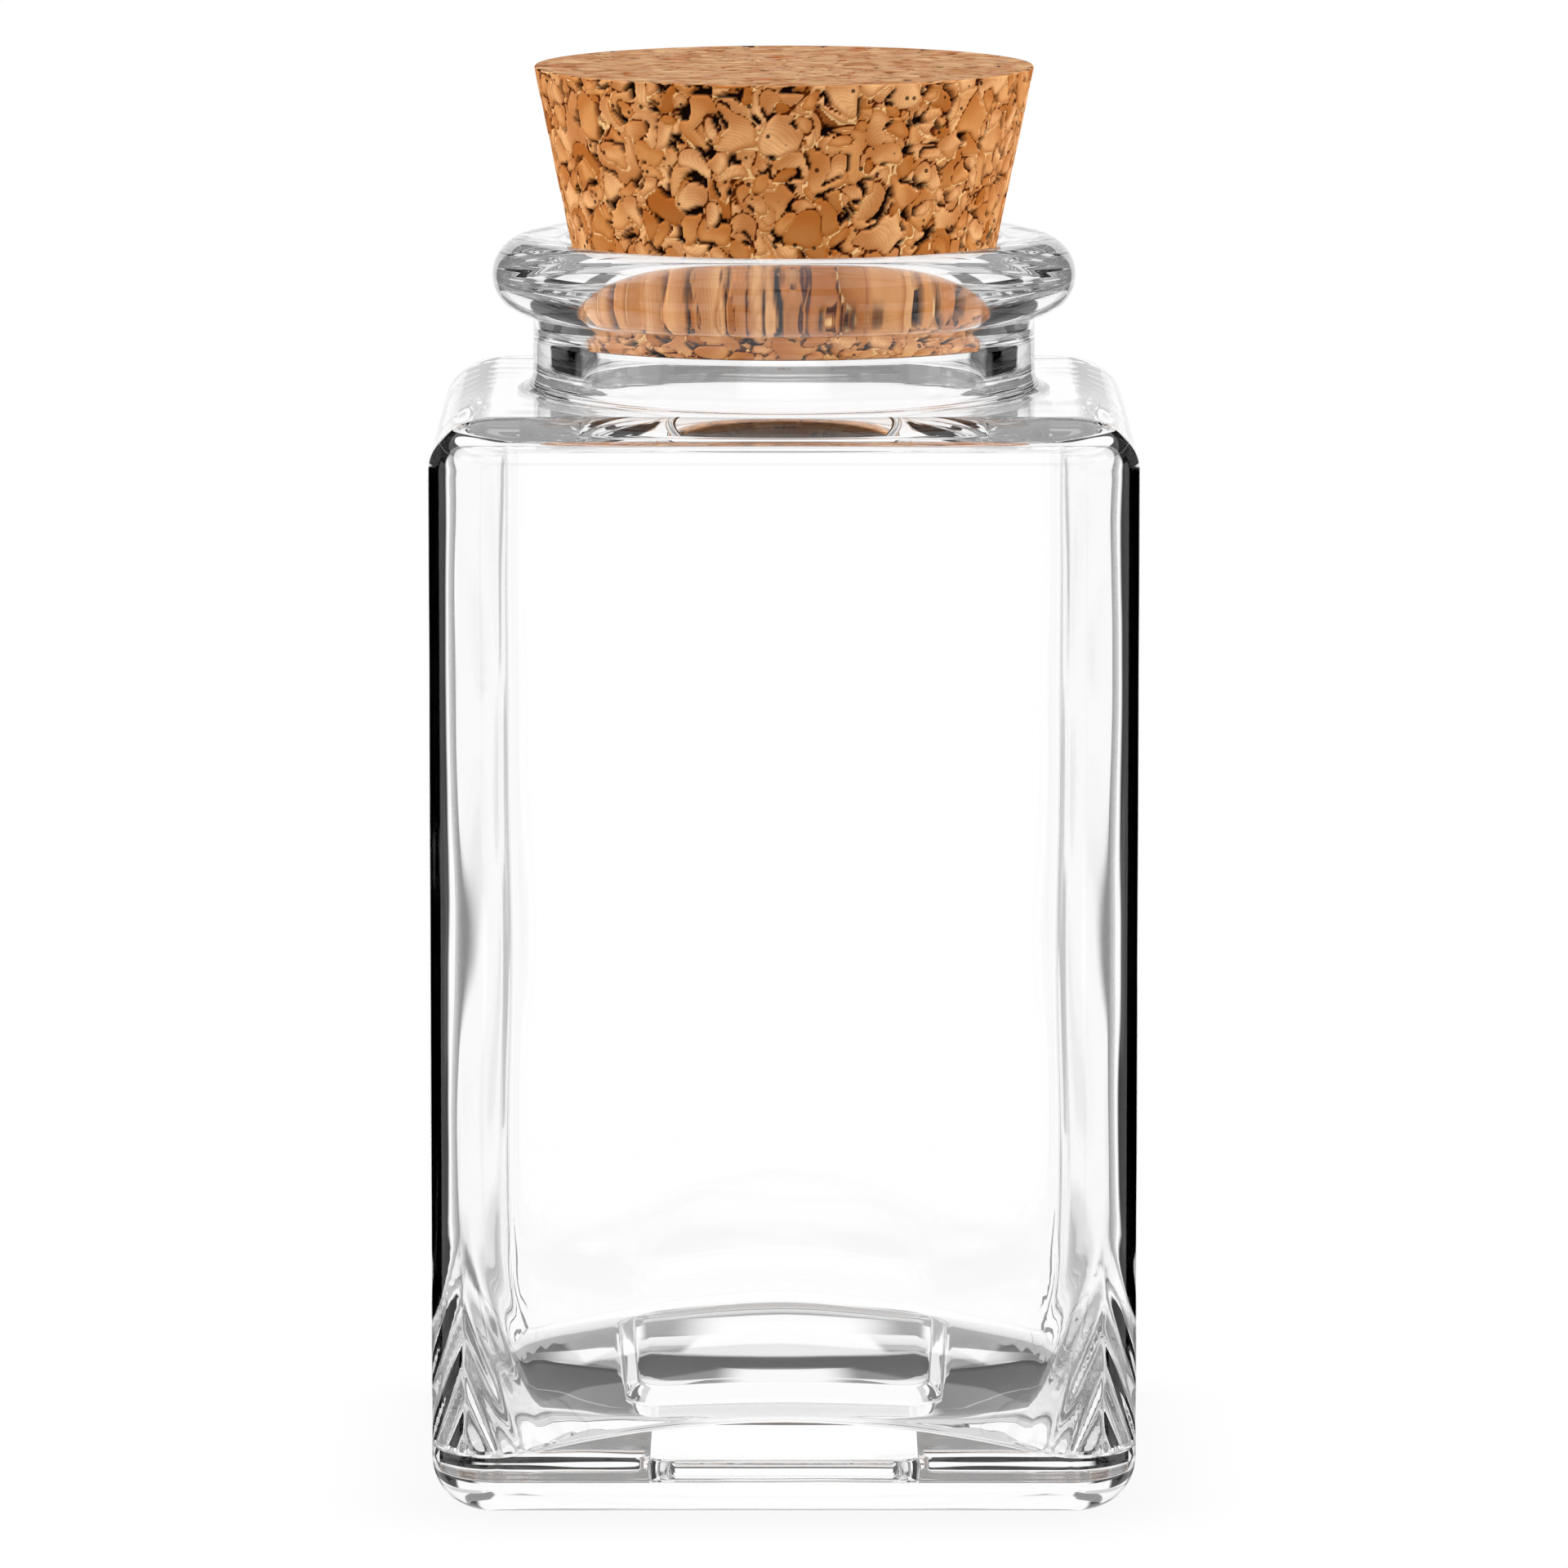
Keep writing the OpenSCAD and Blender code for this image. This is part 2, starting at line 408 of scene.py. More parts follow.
def floor_rings():
    """The fillet at the foot of the walls, then the dome, whose rings turn from square to round."""
    rings = []
    for a in quarter(FILLET_STEPS):
        inset, lift = FLOOR_FILLET * (1 - math.cos(a)), FLOOR_FILLET * (1 - math.sin(a))
        ring = square_ring(HOLLOW_HALF - inset, HOLLOW_FOOT_R - inset, 0)
        ring[:, 2] = dome(ring[:, 0], ring[:, 1]) + lift
        rings.append(wavy(ring))
    edge = square_ring(HOLLOW_HALF - FLOOR_FILLET, HOLLOW_FOOT_R - FLOOR_FILLET, 0)
    disc = round_ring(HOLLOW_HALF - FLOOR_FILLET, 0)
    for k in range(1, FLOOR_RINGS):
        share = k / FLOOR_RINGS
        ring = between(edge, disc, share**FLOOR_ROUNDING) * (1 - share)
        ring[:, 2] = dome(ring[:, 0], ring[:, 1])
        rings.append(ring)
    return rings


inner_rings = ceiling_rings() + inner_wall_rings() + floor_rings()
print("inner rings:", len(inner_rings))

# %% [markdown]
# ## Closing the skin
#
# Each ring is joined to the next by a band of four-sided faces. The first ring closes onto a point
# in the ceiling of the recess and the last onto the top of the dome, so the skin is watertight,
# which is what makes a ray know whether it is in glass or in air. Blender's bridge tool could join
# the rings too, but with equal counts the faces can simply be numbered.


# %% Join the rings
def mesh_object(name, points, faces):
    """A smooth-shaded object from points in millimetres."""
    mesh = bpy.data.meshes.new(name)
    mesh.from_pydata((np.asarray(points) * MM).tolist(), [], faces)
    mesh.polygons.foreach_set("use_smooth", np.ones(len(mesh.polygons), dtype=bool))
    mesh.update()
    made = bpy.data.objects.new(name, mesh)
    bpy.context.scene.collection.objects.link(made)
    return made


def join_rings(name, rings, first_point, last_point):
    """One closed skin from rings of equal count, with a point at each end."""
    count = len(rings[0])
    points = np.concatenate([[first_point], *rings, [last_point]])
    across = np.arange(count)
    beside = (across + 1) % count
    faces = [(0, int(1 + b), int(1 + a)) for a, b in zip(across, beside)]
    for k in range(len(rings) - 1):
        low, high = 1 + k * count, 1 + (k + 1) * count
        faces += np.column_stack([low + across, low + beside, high + beside, high + across]).tolist()
    end, last = len(points) - 1, 1 + (len(rings) - 1) * count
    faces += [(end, int(last + a), int(last + b)) for a, b in zip(across, beside)]
    return mesh_object(name, points, faces)


jar_rings = outer_rings + neck_rings + inner_rings
jar_glass = join_rings("jar_glass", jar_rings, (0, 0, RECESS_H), (0, 0, FLOOR_H))
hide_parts("glass_jar")
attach(jar_glass, "jar")
print("jar faces:", len(jar_glass.data.polygons))

# %% [markdown]
# ## One flake of cork
#
# The stopper is pressed from cork granules and ground to a cone. On its side the granules look like
# overlapping scales. A plain cell pattern has only straight shared borders, so the flakes are laid
# down one by one instead, as leaves fall on a table. Each is a polygon with rounded corners: its
# gauge is 0 in the middle and 1 on the outline. Soft noise bends the outlines a little.

# %% Flake
rng = np.random.default_rng(7)
NOISE_TERMS = 26
OUTLINE_POWER = 7  # higher is more angular
ASPECT = (0.55, 0.95)
SIDES = (5, 9)
SIDE_SPREAD = 0.33
REACH = (0.72, 1.0)
LEAN_SPREAD = 1.1  # radians either way from leaning down
OVER_EDGE = 1  # mm by which centres may lie past the ends of the map


def soft_noise(u, v, width, wave):
    """Smooth noise from 0 to 1 that repeats over the width, so that it has no seam round the cork."""
    total = np.zeros(np.broadcast(u, v).shape)
    for _ in range(NOISE_TERMS):
        turn = rng.uniform(0, 2 * np.pi)
        across = round(width / wave * math.cos(turn))
        phase = rng.uniform(0, 2 * np.pi)
        total += np.sin(2 * np.pi * (across * u / width + math.sin(turn) * v / wave) + phase)
    return 0.5 + 0.5 * np.tanh(total / math.sqrt(NOISE_TERMS))


def draw_flake(size, width, height):
    """The random place, outline, lean and tone of one flake. The order of the draws is part of the look."""
    flake = {"size": size}
    flake["u"], flake["v"] = rng.uniform(0, width), rng.uniform(-OVER_EDGE, height + OVER_EDGE)
    flake["aspect"] = rng.uniform(*ASPECT)
    flake["turn"] = rng.uniform(0, np.pi)
    sides = rng.integers(*SIDES)
    shift = rng.uniform(-SIDE_SPREAD, SIDE_SPREAD, sides)
    flake["normals"] = 2 * np.pi * (np.arange(sides) + shift) / sides
    flake["reach"] = rng.uniform(*REACH, sides)
    flake["lean"] = rng.normal(-np.pi / 2, LEAN_SPREAD)
    flake["tone"] = rng.random()
    flake["phase"] = rng.random()
    return flake


def measure_flake(flake, du, dv):
    """The gauge of the flake, and the place along and across it, at offsets from its middle."""
    size, turn = flake["size"], flake["turn"]
    along = (du * math.cos(turn) + dv * math.sin(turn)) / size
    across = (-du * math.sin(turn) + dv * math.cos(turn)) / (size * flake["aspect"])
    gauge = np.zeros(along.shape)
    for angle, far in zip(flake["normals"], flake["reach"]):
        out = (along * math.cos(angle) + across * math.sin(angle)) / far
        gauge += np.maximum(0.0, out) ** OUTLINE_POWER
    return gauge ** (1 / OUTLINE_POWER), along, across


print("a flake has", SIDES[0], "to", SIDES[1] - 1, "sides")

# %% [markdown]
# ## The flake maps
#
# Large flakes go down first, roughly, and a later one hides what lies under it. Five maps record
# the result on a grid: the tone of the flake on top, how far its edge is, the slope from its
# raised side to its low side, the open slits, and its growth lines, which are the faint curved
# rings of cork bark. One painted texture could hold all this, but separate maps serve both the
# relief and the colours. The side map repeats round the cork, so it has no seam.

# %% Flake maps
BEND, BEND_WAVE = 0.9, 4.0  # how far outlines wander and over what distance, mm
SMALL_FLAKES = 1.25  # above 1 favours small flakes
ORDER_NOISE = 0.8  # mm of size by which the order of laying is shuffled
WINDOW_MARGIN = 1.2  # mm round a flake that is still drawn
EDGE_SHARE, DEEPEST_EDGE = 0.8, 2.0
BOW, PHASES = 0.5, 40.0  # curve of the growth lines and spread of their start
SLIT_WAVE, SLIT_FROM, SLIT_GAIN, SLIT_MOST, SLIT_SOFT = 2.6, 0.66, 1.5, 0.42, 0.06
BARE_TONE = 0.3


def window(centre, reach, step, limit):
    """The numbers of the grid lines within reach of a centre; a limit of None lets them run past the ends."""
    half = int(reach / step) + 1
    lines = np.arange(int(centre / step) - half, int(centre / step) + half + 1)
    return lines if limit is None else lines[(lines >= 0) & (lines < limit)]


def lay_flakes(width, height, columns, rows, count, smallest, largest, wraps):
    """Maps of tone, edge distance in mm, slope across the flake, growth and open slits, on a grid."""
    u = np.arange(columns) * (width / columns if wraps else width / (columns - 1))
    v = np.arange(rows) * height / (rows - 1)
    step_u, step_v = u[1] - u[0], v[1] - v[0]
    uu, vv = np.meshgrid(u, v)
    bend_u = BEND * (soft_noise(uu, vv, width, BEND_WAVE) - 0.5)
    bend_v = BEND * (soft_noise(uu, vv, width, BEND_WAVE) - 0.5)
    maps = {key: np.zeros(uu.shape) for key in ("tone", "edge", "slope", "growth")}
    maps["tone"] += BARE_TONE
    sizes = smallest + (largest - smallest) * rng.random(count) ** SMALL_FLAKES
    order = np.argsort(-sizes + rng.normal(0, ORDER_NOISE, count))
    for size in sizes[order]:
        flake = draw_flake(size, width, height)
        row = window(flake["v"], size + WINDOW_MARGIN, step_v, rows)
        column = window(flake["u"], size + WINDOW_MARGIN, step_u, None if wraps else columns)
        where = np.ix_(row, column % columns)
        du = column[None, :] * step_u - flake["u"] + bend_u[where]
        dv = row[:, None] * step_v - flake["v"] + bend_v[where]
        gauge, along, across = measure_flake(flake, du, dv)
        laid = {
            "tone": flake["tone"],
            "edge": (1 - gauge) * size * EDGE_SHARE,
            "slope": (du * math.cos(flake["lean"]) + dv * math.sin(flake["lean"])) / size,
            "growth": along * size + across * across * size * BOW + PHASES * flake["phase"],
        }
        for key, value in laid.items():
            maps[key][where] = np.where(gauge < 1, value, maps[key][where])
    opening = np.minimum(SLIT_GAIN * (soft_noise(uu, vv, width, SLIT_WAVE) - SLIT_FROM), SLIT_MOST)
    maps["slit"] = smooth_step((opening - maps["edge"]) / SLIT_SOFT + 0.5)
    maps["slope"] = np.clip(maps["slope"], -1, 1)
    maps["edge"] = np.minimum(maps["edge"], DEEPEST_EDGE)
    return maps


CORK_TOP_R = (cork_high[0] - cork_low[0]) / MM / 2
CORK_TOP_Z, CORK_LOW_Z = cork_high[2] / MM, cork_low[2] / MM
CORK_H = CORK_TOP_Z - CORK_LOW_Z
CORK_LOW_R = CORK_TOP_R - CORK_H * CORK_SLOPE
SIDE_COLUMNS, SIDE_ROWS = 640, 115
SIDE_FLAKES, SIDE_SIZES = 1500, (0.9, 3.6)
side_length = CORK_H / math.cos(math.atan(CORK_SLOPE))
side_width = math.pi * (CORK_TOP_R + CORK_LOW_R)
side_map = lay_flakes(side_width, side_length, SIDE_COLUMNS, SIDE_ROWS, SIDE_FLAKES, *SIDE_SIZES, True)
FACE_CELLS = 256
FACE_FLAKES, FACE_SIZES = 1300, (0.7, 2.9)
face_width = 2 * CORK_TOP_R + 1
face_map = lay_flakes(face_width, face_width, FACE_CELLS, FACE_CELLS, FACE_FLAKES, *FACE_SIZES, False)
print("open slits on the side:", round(float(side_map["slit"].mean()) * 100, 1), "percent")

# %% [markdown]
# ## The relief of the cork
#
# The maps now become a surface. Each flake leans a little, so that its lit edge stands a tenth of a
# millimetre above its neighbour, its border dips, and the slits go deepest. Nothing stands out
# past the ground cone, because grinding took everything off that did. A Displace modifier would
# need the maps as pictures, so the points are set straight to their places instead. The ends were
# cut flat, so their relief is much finer.

# %% Relief
SIDE_RELIEF = (0.10, 0.10, 0.45)  # lean, border and slit, mm
FACE_RELIEF = (0.015, 0.03, 0.20)
BORDER_REACH = 0.14
RIM_ROUND = 0.18
RIM_IN, RIM_ALONG = 0.3 * RIM_ROUND, 0.6 * RIM_ROUND
RIM_RELIEF = 0.35  # share of the relief that is left at the rims
END_COLUMNS = SIDE_COLUMNS // 2
TOP_RINGS, LOW_RINGS = 57, 14


def relief(maps, lean, border, slit):
    """How far the surface lies below the ground cone, in mm."""
    dip = border * np.exp(-maps["edge"] / BORDER_REACH)
    return lean * (1 - maps["slope"]) / 2 + dip + slit * maps["slit"]


def face_cell(place):
    """The cell of the end map that a place in mm falls in."""
    cell = (place + face_width / 2) / face_width * (FACE_CELLS - 1)
    return np.clip(cell.round().astype(int), 0, FACE_CELLS - 1)


def end_face(radius, height, down, rings):
    """Points of a flat end from the rim inwards: two full rings, then half as many points a ring."""
    points, maps = [], []
    for k in range(rings):
        count = SIDE_COLUMNS if k < 2 else END_COLUMNS
        ring_r = (radius - RIM_ROUND) * (1 - k / rings)
        angle = 2 * np.pi * np.arange(count) / count
        x, y = ring_r * np.cos(angle), ring_r * np.sin(angle)
        column, row = face_cell(-x if down else x), face_cell(y)
        here = {key: values[row, column] for key, values in face_map.items()}
        fall = relief(here, *FACE_RELIEF) * min(1.0, k / 2)
        points.append(np.column_stack([x, y, height + (fall if down else -fall)]))
        maps.append(here)
    return points, maps


side_angle = 2 * np.pi * np.arange(SIDE_COLUMNS) / SIDE_COLUMNS
side_depth = relief(side_map, *SIDE_RELIEF)


def side_ring(row):
    """The points of one ring on the side; the first and last ones round the rims."""
    at_rim = row in (0, SIDE_ROWS - 1)
    share = row / (SIDE_ROWS - 1)
    cone = CORK_LOW_R + (CORK_TOP_R - CORK_LOW_R) * share
    radius = cone - side_depth[row] * (RIM_RELIEF if at_rim else 1.0)
    height = CORK_LOW_Z + CORK_H * share
    if at_rim:
        radius = radius - RIM_IN
        height += RIM_ALONG if row == 0 else -RIM_ALONG
    x, y = radius * np.cos(side_angle), radius * np.sin(side_angle)
    return np.column_stack([x, y, np.full(SIDE_COLUMNS, height)])


side_points = [side_ring(row) for row in range(SIDE_ROWS)]
side_values = [{key: values[row] for key, values in side_map.items()} for row in range(SIDE_ROWS)]
top_points, top_values = end_face(CORK_TOP_R, CORK_TOP_Z, False, TOP_RINGS)
low_points, low_values = end_face(CORK_LOW_R, CORK_LOW_Z, True, LOW_RINGS)
print("deepest relief on the side, mm:", round(float(side_depth.max()), 2))

# %% [markdown]
# ## The cork as a mesh
#
# The rings of the lower end, the side and the top end make one closed skin, as on the jar. Near the
# middle of an end full rings would crowd into slivers, so the rings there have half the points and
# three triangles knit each change. The maps are stored on the points for the finish to read, which
# keeps relief and colour in step without any picture.

# %% Cork mesh
layers = low_points[::-1] + side_points + top_points
layer_values = low_values[::-1] + side_values + top_values
on_end = [1.0] * len(low_points) + [0.0] * len(side_points) + [1.0] * len(top_points)
MAP_NAMES = ("tone", "edge", "slope", "slit", "growth")
TIP_VALUE = 0.5


def band(start_a, count_a, start_b, count_b):
    """Faces between two rings of points, where one may have half as many as the other."""
    if count_a == count_b:
        a = np.arange(count_a)
        b = (a + 1) % count_a
        return np.column_stack([start_a + a, start_a + b, start_b + b, start_b + a]).tolist()
    faces = []
    flip = count_a < count_b
    many, few = max(count_a, count_b), min(count_a, count_b)
    start_many, start_few = (start_b, start_a) if flip else (start_a, start_b)
    for k in range(few):
        m0, m1, m2 = 2 * k, 2 * k + 1, (2 * k + 2) % many
        f0, f1 = k, (k + 1) % few
        trio = [
            (start_many + m0, start_many + m1, start_few + f0),
            (start_many + m1, start_many + m2, start_few + f1),
            (start_many + m1, start_few + f1, start_few + f0),
        ]
        faces += [t[::-1] if flip else t for t in trio]
    return faces


def store_map(name, values):
    """Keeps one number for each point of the cork, under a name that the finish can read."""
    stored = cork_plug.data.attributes.new("flake_" + name, "FLOAT", "POINT")
    stored.data.foreach_set("value", np.concatenate(values).astype(np.float32))


starts = [int(s) for s in np.cumsum([1] + [len(p) for p in layers])]
end_steps = [(k, (k + 1) % END_COLUMNS) for k in range(END_COLUMNS)]
cork_faces = [(0, starts[0] + after, starts[0] + k) for k, after in end_steps]
for k in range(len(layers) - 1):
    cork_faces += band(starts[k], len(layers[k]), starts[k + 1], len(layers[k + 1]))
cork_faces += [(starts[-1], starts[-2] + k, starts[-2] + after) for k, after in end_steps]
cork_points = np.concatenate([[(0, 0, CORK_LOW_Z)], *layers, [(0, 0, CORK_TOP_Z)]])
cork_plug = mesh_object("cork_plug", cork_points, cork_faces)
for key in MAP_NAMES:
    store_map(key, [[TIP_VALUE], *[layer[key] for layer in layer_values], [TIP_VALUE]])
store_map("end", [[1.0], *[np.full(len(p), e) for p, e in zip(layers, on_end)], [1.0]])
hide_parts("cork_stopper")
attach(cork_plug, "stopper")
print("cork faces:", len(cork_plug.data.polygons))

# %% [markdown]
# ## Helpers for finishes
#
# A finish is a tree of shader nodes. It could be wired by hand in the editor, but in code the same
# few moves repeat: add a node, do sums on sockets, turn one range into another, mix two colours.
# Each gets a small helper, which keeps the trees short to read.


# %% Node helpers
def add(tree, kind, **settings):
    """A new node with these settings."""
    node = tree.nodes.new(kind)
    for name, value in settings.items():
        setattr(node, name, value)
    return node


def feed(tree, socket, value):
    """Links a socket, or writes a plain number or colour into it."""
    if isinstance(value, bpy.types.NodeSocket):
        tree.links.new(value, socket)
    elif isinstance(value, tuple):
        socket.default_value = (*value, 1.0)
    elif value is not None:
        socket.default_value = value


def maths(tree, operation, first, second=None, clamp=False):
    """A Math node on sockets or plain numbers."""
    node = add(tree, "ShaderNodeMath", operation=operation, use_clamp=clamp)
    feed(tree, node.inputs[0], first)
    feed(tree, node.inputs[1], second)
    return node.outputs[0]


def times(tree, first, second):
    """The product of two sockets or numbers."""
    return maths(tree, "MULTIPLY", first, second)


def ranged(tree, value, low, high, out_low=0.0, out_high=1.0):
    """A smooth Map Range from low..high to out_low..out_high."""
    node = add(tree, "ShaderNodeMapRange", interpolation_type="SMOOTHSTEP")
    numbers = {"Value": value, "From Min": low, "From Max": high, "To Min": out_low, "To Max": out_high}
    for name, number in numbers.items():
        feed(tree, node.inputs[name], number)
    return node.outputs["Result"]


def blend_colour(tree, share, first, second):
    """A Mix node for colours; each side is a socket or a colour."""
    node = add(tree, "ShaderNodeMix", data_type="RGBA")
    for name, value in (("Factor", share), ("A", first), ("B", second)):
        feed(tree, node.inputs[name], value)
    return node.outputs["Result"]


def new_material(name):
    """A material with its node tree and its Principled shader."""
    material = bpy.data.materials.new(name)
    material.use_nodes = True
    return material, material.node_tree, material.node_tree.nodes["Principled BSDF"]


def new_group(name, inputs, outputs):
    """A node group with plain number sockets, with its input and output nodes."""
    group = bpy.data.node_groups.new(name, "ShaderNodeTree")
    for way, sockets in (("INPUT", inputs), ("OUTPUT", outputs)):
        for socket in sockets:
            group.interface.new_socket(socket, in_out=way, socket_type="NodeSocketFloat")
    return group, add(group, "NodeGroupInput"), add(group, "NodeGroupOutput")


def bump_from(tree, height, strength, distance, shader):
    """Lets a height tilt the normals of a shader."""
    node = add(tree, "ShaderNodeBump")
    for name, value in (("Strength", strength), ("Distance", distance), ("Height", height)):
        feed(tree, node.inputs[name], value)
    tree.links.new(node.outputs["Normal"], shader.inputs["Normal"])


print("node helpers ready")

# %% [markdown]
# ## Clear glass
#
# Colourless glass has no colour of its own to paint. What gives it character is a skin that is not
# quite even: the mould and the air leave shallow waves. They are too faint to model, so a bump
# carries them, and the roughness stays at zero because the glass is fire-polished.
#
# A glass shader alone would leave the cork in the mouth in the dark, because soft light doesn't
# find its way through bent glass. So for those rays only, a Transparent shader takes its place:
# Light Path tells when a ray is looking for a lamp or gathering soft light.

# %% Glass finish
GLASS_IOR = 1.5
WAVES_PER_METRE = 90.0
WAVE_BUMP, WAVE_DEPTH = 0.35, 0.00012
glass, tree, shader = new_material("clear_glass_polished")
shader.inputs["Base Color"].default_value = (1.0, 1.0, 1.0, 1.0)
shader.inputs["Roughness"].default_value = 0.0
shader.inputs["IOR"].default_value = GLASS_IOR
shader.inputs["Transmission Weight"].default_value = 1.0


def mould_wave_group():
    """Shallow waves of moulded glass, as a height."""
    group, enter, leave = new_group("mould_waves", ["Waves per metre"], ["Height"])
    place = add(group, "ShaderNodeTexCoord")
    noise = add(group, "ShaderNodeTexNoise")
    noise.inputs["Detail"].default_value = 1.0
    group.links.new(place.outputs["Object"], noise.inputs["Vector"])
    group.links.new(enter.outputs["Waves per metre"], noise.inputs["Scale"])
    group.links.new(noise.outputs["Fac"], leave.inputs["Height"])
    return group


waves = add(tree, "ShaderNodeGroup", node_tree=mould_wave_group())
waves.inputs["Waves per metre"].default_value = WAVES_PER_METRE
bump_from(tree, waves.outputs["Height"], WAVE_BUMP, WAVE_DEPTH, shader)
clear = add(tree, "ShaderNodeBsdfTransparent")
passing = add(tree, "ShaderNodeLightPath")
light_or_look = add(tree, "ShaderNodeMixShader")
unseen = maths(tree, "MAXIMUM", passing.outputs["Is Shadow Ray"], passing.outputs["Is Diffuse Ray"])
tree.links.new(unseen, light_or_look.inputs["Fac"])
tree.links.new(shader.outputs["BSDF"], light_or_look.inputs[1])
tree.links.new(clear.outputs["BSDF"], light_or_look.inputs[2])
tree.links.new(light_or_look.outputs["Shader"], tree.nodes["Material Output"].inputs["Surface"])
jar_glass.data.materials.append(glass)
print("glass index of refraction:", GLASS_IOR)

# %% [markdown]
# ## Grain and pits of cork
#
# Cork has a fine grain and small dark pits where the bark breathed. Both are finer than the mesh,
# so they come from noise in the nodes: a layered noise for the grain, and the small round
# middles of a cell pattern for the pits.

# %% Cork grain
GRAINS_PER_METRE, PITS_PER_METRE = 700.0, 560.0
GRAIN_DETAIL, GRAIN_ROUGHNESS = 5.0, 0.6
PIT_EDGE, PIT_CORE = 0.13, 0.09


def cork_grain_group():
    """Fine grain from 0 to 1 and small dark pits, both from the place on the object."""
    group, enter, leave = new_group("cork_grain", ["Grains per metre", "Pits per metre"], ["Grain", "Pits"])
    place = add(group, "ShaderNodeTexCoord")
    noise = add(group, "ShaderNodeTexNoise")
    noise.inputs["Detail"].default_value = GRAIN_DETAIL
    noise.inputs["Roughness"].default_value = GRAIN_ROUGHNESS
    spots = add(group, "ShaderNodeTexVoronoi")
    for texture, scale in ((noise, "Grains per metre"), (spots, "Pits per metre")):
        group.links.new(place.outputs["Object"], texture.inputs["Vector"])
        group.links.new(enter.outputs[scale], texture.inputs["Scale"])
    group.links.new(noise.outputs["Fac"], leave.inputs["Grain"])
    group.links.new(ranged(group, spots.outputs["Distance"], PIT_EDGE, PIT_CORE), leave.inputs["Pits"])
    return group


cork, tree, shader = new_material("pressed_cork")
grain_node = add(tree, "ShaderNodeGroup", node_tree=cork_grain_group())
grain_node.inputs["Grains per metre"].default_value = GRAINS_PER_METRE
grain_node.inputs["Pits per metre"].default_value = PITS_PER_METRE
grain, pits = grain_node.outputs["Grain"], grain_node.outputs["Pits"]
tone, edge, slope, slit, growth, end = [
    add(tree, "ShaderNodeAttribute", attribute_name="flake_" + name).outputs["Fac"]
    for name in (*MAP_NAMES, "end")
]
print("one pit for each", round(1000 / PITS_PER_METRE, 1), "mm")

# %% [markdown]
# ## The body of a flake
#
# Tone picks each flake's own tan from a ramp. Towards its border and on its low side a flake turns
# deeper and more orange; that is painted shade, as a dipping, leaning plate would get in light from
# above. The grain mottles it, and faint growth lines cross the paler flakes. The layers could be
# painted one over the other in any order; here the broad ones come first, so that the fine lines
# stay crisp on top.

# %% Flake body
CORK_DARK, CORK_MID, CORK_LIGHT = (0.36, 0.115, 0.022), (0.62, 0.265, 0.08), (0.88, 0.49, 0.22)
MID_AT = 0.22
# the colour of painted shade: near the borders and on the low sides of flakes, and in the end lines
CORK_PAINTED_SHADE = (0.38, 0.09, 0.006)
EDGE_FRAY = 0.12
# how wide and how strong the painted shade is at a flake's border and on its low side
BORDER_WIDTH, BORDER_SHARE = 0.75, 0.75
LOW_SIDE, LOW_SIDE_SHARE = (0.25, -0.45), 0.6
GRAIN_RANGE, GRAIN_SHARE = (0.25, 0.75), 0.30
LINES_PER_MM, LINE_FROM, LINE_SHARE = 21.0, -0.2, 0.22
LINED_TONES = (0.35, 0.6)

ramp = add(tree, "ShaderNodeValToRGB")
tree.links.new(tone, ramp.inputs["Fac"])
stops = ramp.color_ramp.elements
stops[0].color, stops[1].color = (*CORK_DARK, 1), (*CORK_LIGHT, 1)
stops.new(MID_AT).color = (*CORK_MID, 1)
fray = times(tree, maths(tree, "SUBTRACT", grain, 0.5), EDGE_FRAY)
near_edge = maths(tree, "ADD", edge, fray)
border = ranged(tree, near_edge, BORDER_WIDTH, 0.0)
# painted shade: a flake darkens near its border and on its low side
low_side_shade = times(tree, ranged(tree, slope, *LOW_SIDE), LOW_SIDE_SHARE)
painted_flake_shade = maths(tree, "MAXIMUM", times(tree, border, BORDER_SHARE), low_side_shade)
body_colour = blend_colour(tree, painted_flake_shade, ramp.outputs["Color"], CORK_PAINTED_SHADE)
mottle = ranged(tree, grain, *GRAIN_RANGE, 0.0, GRAIN_SHARE)
body_colour = blend_colour(tree, mottle, body_colour, CORK_DARK)
line_wave = maths(tree, "SINE", times(tree, growth, LINES_PER_MM))
lines = ranged(tree, line_wave, LINE_FROM, 1.0, 0.0, LINE_SHARE)
lines = times(tree, lines, ranged(tree, tone, *LINED_TONES))
body_colour = blend_colour(tree, lines, body_colour, CORK_DARK)
print("flake body nodes:", len(tree.nodes))

# %% [markdown]
# ## Side, ends and surface
#
# On the side, a nearly black seam runs round each flake: a dark joint all round, and under the low
# edge of the flake painted shadow. Along its raised edge runs a thin pale painted highlight. The flat
# ends are browner and calmer, with darker single flakes and fine dark lines, which are dark joints
# and, where they grow stronger on the low side of a flake, painted shade. Slits and pits are almost
# black on both. Cork is matte: a little gloss would wash out the colours in a white studio, so the
# specular level is close to zero. It is the same all over, so it is written on the shader itself.

# %% Cork finish
# the seam: a dark joint round each flake, with painted shadow under its low edge
CORK_JOINT_AND_SHADOW = (0.07, 0.012, 0.001)
SEAM_WIDTH, SEAM_SLOPE, SEAM_LEAST = (0.24, 0.10), (0.1, -0.2), 0.3
# colour of the painted highlight along the raised edge of each flake
CORK_PAINTED_HIGHLIGHT = (1.0, 0.66, 0.30)
LIT_WIDTH, LIT_SLOPE, LIT_SHARE = (0.20, 0.09), (0.12, 0.4), 0.7
END_COLOUR, END_SHARE = (0.31, 0.245, 0.151), 0.46
DARK_TONES, DARK_TONE_SHARE = (0.45, 0.05), 0.5
